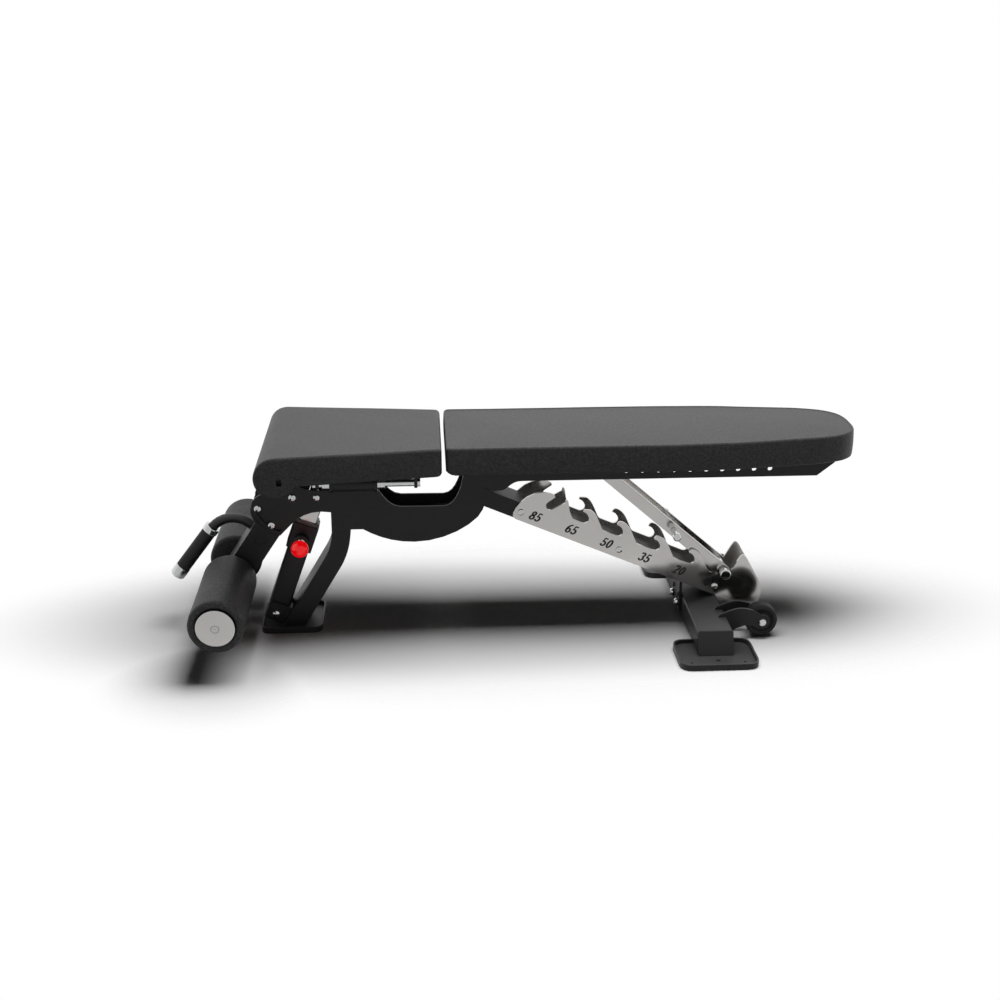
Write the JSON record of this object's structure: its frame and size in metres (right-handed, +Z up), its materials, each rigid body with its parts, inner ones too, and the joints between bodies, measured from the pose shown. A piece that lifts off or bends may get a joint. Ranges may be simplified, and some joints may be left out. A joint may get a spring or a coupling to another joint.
{
  "type": "adjustable weight bench",
  "caption": "Weight bench with a reclining back rest held by a notched ladder, a tilting and sliding seat, foam leg rollers with a handle, and transport wheels.",
  "frame": {"origin": "centre of the underside of the bounding box, on the floor", "axes": "+X towards the head end of the back rest, +Y across, +Z up"},
  "size_m": [1.5146, 0.6306, 0.45],
  "materials": {
    "powder_black": "satin black powder coat",
    "satin_silver": "smooth silver lacquer, mirror-like",
    "chrome": "polished",
    "vinyl": "charcoal textured vinyl over foam",
    "foam": "closed-cell foam",
    "rubber": "matt",
    "black_plastic": "moulded",
    "grey_nylon": "moulded",
    "red_gloss": "glossy",
    "grip_rubber": "matt"
  },
  "bodies": {
    "frame": {"front_foot": "powder_black", "leg_core": "powder_black", "side_plate_near": "powder_black", "side_plate_far": "powder_black", "belly_web": "powder_black", "post_bracket": "powder_black", "post_outer_tube": "powder_black", "post_guide": "grey_nylon", "post_pivot_bolt": "chrome", "post_guide_bolt": "chrome", "pull_pin_boss": "black_plastic", "spine_tube": "powder_black", "ladder_plate_near": "satin_silver", "ladder_plate_far": "satin_silver", "ladder_bolt_1": "chrome", "ladder_bolt_2": "chrome", "ladder_bolt_3": "chrome", "spine_flange": "powder_black", "rear_cross_tube": "powder_black", "rear_tube_cap_near": "black_plastic", "rear_tube_cap_far": "black_plastic", "rear_foot_near": "powder_black", "rear_foot_far": "powder_black", "wheel_bracket_near": "powder_black", "wheel_bracket_far": "powder_black", "seat_axle": "chrome", "holder_pivot_bolt": "chrome"},
    "prop": {"post_inner_tube": "satin_silver", "post_top_cap": "black_plastic"},
    "pull_knob": {"pull_pin": "chrome", "pull_pin_knob": "red_gloss"},
    "back_rest": {"back_pad": "vinyl", "back_board": "black_plastic", "back_frame": "powder_black", "back_hinge_bolt": "chrome", "arm_pivot_bolt": "chrome"},
    "strut": {"support_arm_near": "satin_silver", "support_arm_far": "satin_silver", "strut_cross_bar": "chrome", "strut_lift_bar": "chrome"},
    "seat_carrier_body": {"seat_carrier": "powder_black", "slide_bush_near": "chrome", "slide_bush_far": "chrome"},
    "seat": {"seat_pad": "vinyl", "seat_pan": "powder_black", "slide_rod_near": "chrome", "slide_rod_far": "chrome"},
    "holder": {"roller_holder": "powder_black", "slot_screw_1": "chrome", "slot_screw_2": "chrome", "roller_tube": "chrome", "handle_tube": "powder_black", "handle_grip": "grip_rubber", "handle_end_cap": "chrome", "roller_disc_near": "satin_silver", "roller_disc_far": "satin_silver"},
    "roller_near": {"foam_roller_near": "foam"},
    "roller_far": {"foam_roller_far": "foam"},
    "wheel_near_body": {"wheel_near": "rubber"},
    "wheel_far_body": {"wheel_far": "rubber"}
  },
  "joints": [
    {"name": "back_recline", "type": "hinge", "parent": "frame", "child": "back_rest", "pos_m": [-0.08768, 0, 0.372], "axis": [0, -1, 0], "range_deg": [0, 85]},
    {"name": "strut_swing", "type": "hinge", "parent": "back_rest", "child": "strut", "pos_m": [0.18722, 0, 0.3681], "axis": [0, 1, 0], "range_deg": [0, 113]},
    {"name": "seat_tilt", "type": "hinge", "parent": "frame", "child": "seat_carrier_body", "pos_m": [-0.48968, 0, 0.396], "axis": [0, 1, 0], "range_deg": [0, 14]},
    {"name": "seat_slide", "type": "slide", "parent": "seat_carrier_body", "child": "seat", "axis": [-1, 0, 0], "range_m": [0, 0.0602]},
    {"name": "prop_slide", "type": "slide", "parent": "frame", "child": "prop", "axis": [-0.3437, 0, -0.9391], "range_m": [0, 0.0208]},
    {"name": "knob_pull", "type": "slide", "parent": "frame", "child": "pull_knob", "axis": [0, -1, 0], "range_m": [0, 0.01], "stiffness_N_per_m": 400},
    {"name": "holder_swing", "type": "hinge", "parent": "frame", "child": "holder", "pos_m": [-0.47788, 0, 0.311], "axis": [0, -1, 0], "range_deg": [0, 12]},
    {"name": "roller_spin_near", "type": "hinge", "parent": "holder", "child": "roller_near", "pos_m": [-0.622, -0.179, 0.12667], "axis": [0, 1, 0], "continuous": true},
    {"name": "roller_spin_far", "type": "hinge", "parent": "holder", "child": "roller_far", "pos_m": [-0.622, 0.179, 0.12667], "axis": [0, 1, 0], "continuous": true},
    {"name": "wheel_spin_near", "type": "hinge", "parent": "frame", "child": "wheel_near_body", "pos_m": [0.54782, -0.1395, 0.0404], "axis": [0, 1, 0], "continuous": true},
    {"name": "wheel_spin_far", "type": "hinge", "parent": "frame", "child": "wheel_far_body", "pos_m": [0.54782, 0.1395, 0.0404], "axis": [0, 1, 0], "continuous": true}
  ],
  "couplings": [
    {"joint": "strut_swing", "follows": "back_recline", "ratio": 1.3186},
    {"joint": "seat_slide", "follows": "back_recline", "m_per_rad": 0.0404},
    {"joint": "prop_slide", "follows": "seat_tilt", "m_per_rad": 0.0843}
  ]
}
